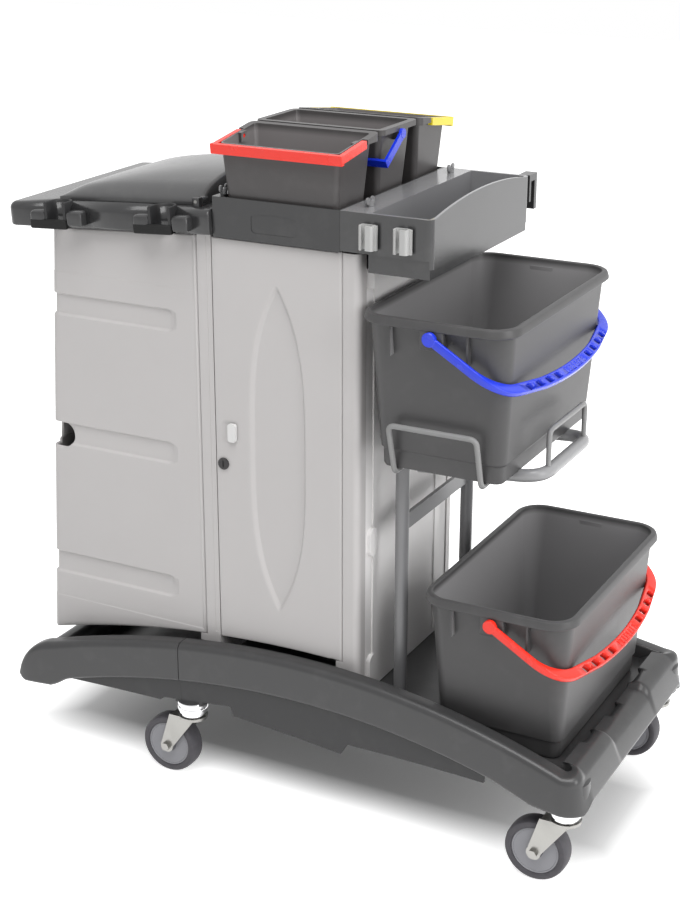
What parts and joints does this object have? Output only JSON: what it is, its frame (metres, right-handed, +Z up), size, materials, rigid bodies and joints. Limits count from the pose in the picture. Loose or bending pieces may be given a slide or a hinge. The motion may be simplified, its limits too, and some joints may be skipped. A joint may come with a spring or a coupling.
{
  "type": "janitor cart",
  "caption": "Wheeled cleaning cart with a curved base, a locked side cabinet, a lidded bag compartment, top trays and tiered buckets with swinging bails.",
  "frame": {"origin": "on the floor under the middle of the bounding box", "axes": "+X towards the end with the large buckets, +Y away from the side with the cabinet door, +Z up"},
  "size_m": [0.9761, 0.4782, 1.0183],
  "materials": {
    "dark_plastic": "moulded, fine grain, satin",
    "panel_plastic": "moulded light grey, semi-gloss",
    "bucket_plastic": "moulded dark grey, satin",
    "blue_plastic": "glossy moulded blue",
    "red_plastic": "glossy moulded red",
    "yellow_plastic": "glossy moulded yellow",
    "clip_plastic": "moulded pale grey",
    "lock_plastic": "black moulded",
    "chrome_cup": "bright plated",
    "zinc": "zinc plated pressed steel",
    "hub_plastic": "moulded grey",
    "tyre_rubber": "grey-black non-marking rubber",
    "coated_wire": "grey powder coat",
    "post_metal": "dark grey powder coat",
    "screw_plastic": "moulded grey"
  },
  "bodies": {
    "cart": {"base_rear": "dark_plastic", "base_front": "dark_plastic", "caster_cups": "chrome_cup", "rear_pillars": "panel_plastic", "front_pillars": "panel_plastic", "end_panel": "panel_plastic", "bulkhead": "panel_plastic", "far_panel": "panel_plastic", "door_pins": "zinc", "bag_door_pins": "zinc", "bag_frame": "dark_plastic", "lid_pins": "zinc", "middle_tray": "dark_plastic", "front_tray": "dark_plastic", "tray_hook": "dark_plastic", "tool_clips": "clip_plastic", "wing_screws": "screw_plastic", "posts": "post_metal", "crossbar": "post_metal", "cradle_rods": "coated_wire", "cradle_handle": "coated_wire"},
    "fork_rear_near": {"fork_rear_near": "zinc", "axle_rear_near": "zinc"},
    "wheel_rear_near": {"hub_rear_near": "hub_plastic", "tyre_rear_near": "tyre_rubber"},
    "fork_rear_far": {"fork_rear_far": "zinc", "axle_rear_far": "zinc"},
    "wheel_rear_far": {"hub_rear_far": "hub_plastic", "tyre_rear_far": "tyre_rubber"},
    "fork_front_near": {"fork_front_near": "zinc", "axle_front_near": "zinc"},
    "wheel_front_near": {"hub_front_near": "hub_plastic", "tyre_front_near": "tyre_rubber"},
    "fork_front_far": {"fork_front_far": "zinc", "axle_front_far": "zinc"},
    "wheel_front_far": {"hub_front_far": "hub_plastic", "tyre_front_far": "tyre_rubber"},
    "side_door": {"side_door": "panel_plastic", "door_pull": "clip_plastic"},
    "lock": {"door_lock": "lock_plastic"},
    "bag_door_near": {"bag_door_near": "panel_plastic"},
    "bag_door_far": {"bag_door_far": "panel_plastic"},
    "lid": {"bag_lid": "dark_plastic"},
    "small_bucket_near": {"small_bucket_near": "bucket_plastic"},
    "small_bail_near": {"small_bail_near": "red_plastic"},
    "small_bucket_mid": {"small_bucket_mid": "bucket_plastic"},
    "small_bail_mid": {"small_bail_mid": "blue_plastic"},
    "small_bucket_far": {"small_bucket_far": "bucket_plastic"},
    "small_bail_far": {"small_bail_far": "yellow_plastic"},
    "upper_bucket": {"upper_bucket": "bucket_plastic"},
    "upper_bail": {"upper_bail": "blue_plastic"},
    "lower_bucket": {"lower_bucket": "bucket_plastic"},
    "lower_bail": {"lower_bail": "red_plastic"}
  },
  "joints": [
    {"name": "swivel_rear_near", "type": "hinge", "parent": "cart", "child": "fork_rear_near", "pos_m": [-0.183, -0.184, 0.11], "axis": [0, 0, 1], "continuous": true},
    {"name": "roll_rear_near", "type": "hinge", "parent": "fork_rear_near", "child": "wheel_rear_near", "pos_m": [-0.222, -0.184, 0.0475], "axis": [0, 1, 0], "continuous": true},
    {"name": "swivel_rear_far", "type": "hinge", "parent": "cart", "child": "fork_rear_far", "pos_m": [-0.183, 0.184, 0.11], "axis": [0, 0, 1], "continuous": true},
    {"name": "roll_rear_far", "type": "hinge", "parent": "fork_rear_far", "child": "wheel_rear_far", "pos_m": [-0.222, 0.184, 0.0475], "axis": [0, 1, 0], "continuous": true},
    {"name": "swivel_front_near", "type": "hinge", "parent": "cart", "child": "fork_front_near", "pos_m": [0.443, -0.198, 0.11], "axis": [0, 0, 1], "continuous": true},
    {"name": "roll_front_near", "type": "hinge", "parent": "fork_front_near", "child": "wheel_front_near", "pos_m": [0.404, -0.198, 0.0475], "axis": [0, 1, 0], "continuous": true},
    {"name": "swivel_front_far", "type": "hinge", "parent": "cart", "child": "fork_front_far", "pos_m": [0.443, 0.198, 0.11], "axis": [0, 0, 1], "continuous": true},
    {"name": "roll_front_far", "type": "hinge", "parent": "fork_front_far", "child": "wheel_front_far", "pos_m": [0.404, 0.198, 0.0475], "axis": [0, 1, 0], "continuous": true},
    {"name": "side_door_hinge", "type": "hinge", "parent": "cart", "child": "side_door", "pos_m": [0.066, -0.16, 0.557], "axis": [0, 0, 1], "range_deg": [0, 95]},
    {"name": "lock_turn", "type": "hinge", "parent": "side_door", "child": "lock", "pos_m": [-0.127, -0.165, 0.527], "axis": [0, 1, 0], "range_deg": [0, 90]},
    {"name": "bag_door_near_hinge", "type": "hinge", "parent": "cart", "child": "bag_door_near", "pos_m": [-0.17, -0.16, 0.55], "axis": [0, 0, 1], "range_deg": [0, 80]},
    {"name": "bag_door_far_hinge", "type": "hinge", "parent": "cart", "child": "bag_door_far", "pos_m": [-0.17, 0.16, 0.55], "axis": [0, 0, -1], "range_deg": [0, 80]},
    {"name": "lid_hinge", "type": "hinge", "parent": "cart", "child": "lid", "pos_m": [-0.16575, 0, 0.91447], "axis": [0, 1, 0], "range_deg": [0, 55]},
    {"name": "small_bucket_near_lift", "type": "slide", "parent": "cart", "child": "small_bucket_near", "axis": [0, 0, 1], "range_m": [0, 0.11]},
    {"name": "small_bail_near_swing", "type": "hinge", "parent": "small_bucket_near", "child": "small_bail_near", "pos_m": [-0.0255, -0.114, 1.0053], "axis": [-1, 0, 0], "range_deg": [0, 110]},
    {"name": "small_bucket_mid_lift", "type": "slide", "parent": "cart", "child": "small_bucket_mid", "axis": [0, 0, 1], "range_m": [0, 0.11]},
    {"name": "small_bail_mid_swing", "type": "hinge", "parent": "small_bucket_mid", "child": "small_bail_mid", "pos_m": [-0.0255, 0, 1.0063], "axis": [-1, 0, 0], "range_deg": [0, 180]},
    {"name": "small_bucket_far_lift", "type": "slide", "parent": "cart", "child": "small_bucket_far", "axis": [0, 0, 1], "range_m": [0, 0.11]},
    {"name": "small_bail_far_swing", "type": "hinge", "parent": "small_bucket_far", "child": "small_bail_far", "pos_m": [-0.0255, 0.114, 1.0053], "axis": [1, 0, 0], "range_deg": [0, 110]},
    {"name": "upper_bucket_lift", "type": "slide", "parent": "cart", "child": "upper_bucket", "axis": [0, 0, 1], "range_m": [0, 0.04]},
    {"name": "upper_bail_swing", "type": "hinge", "parent": "upper_bucket", "child": "upper_bail", "pos_m": [0.223, 0, 0.777], "axis": [0, -1, 0], "range_deg": [0, 110]},
    {"name": "lower_bucket_lift", "type": "slide", "parent": "cart", "child": "lower_bucket", "axis": [0, 0, 1], "range_m": [0, 0.1]},
    {"name": "lower_bail_swing", "type": "hinge", "parent": "lower_bucket", "child": "lower_bail", "pos_m": [0.323, 0, 0.3793], "axis": [0, -1, 0], "range_deg": [0, 240]}
  ]
}
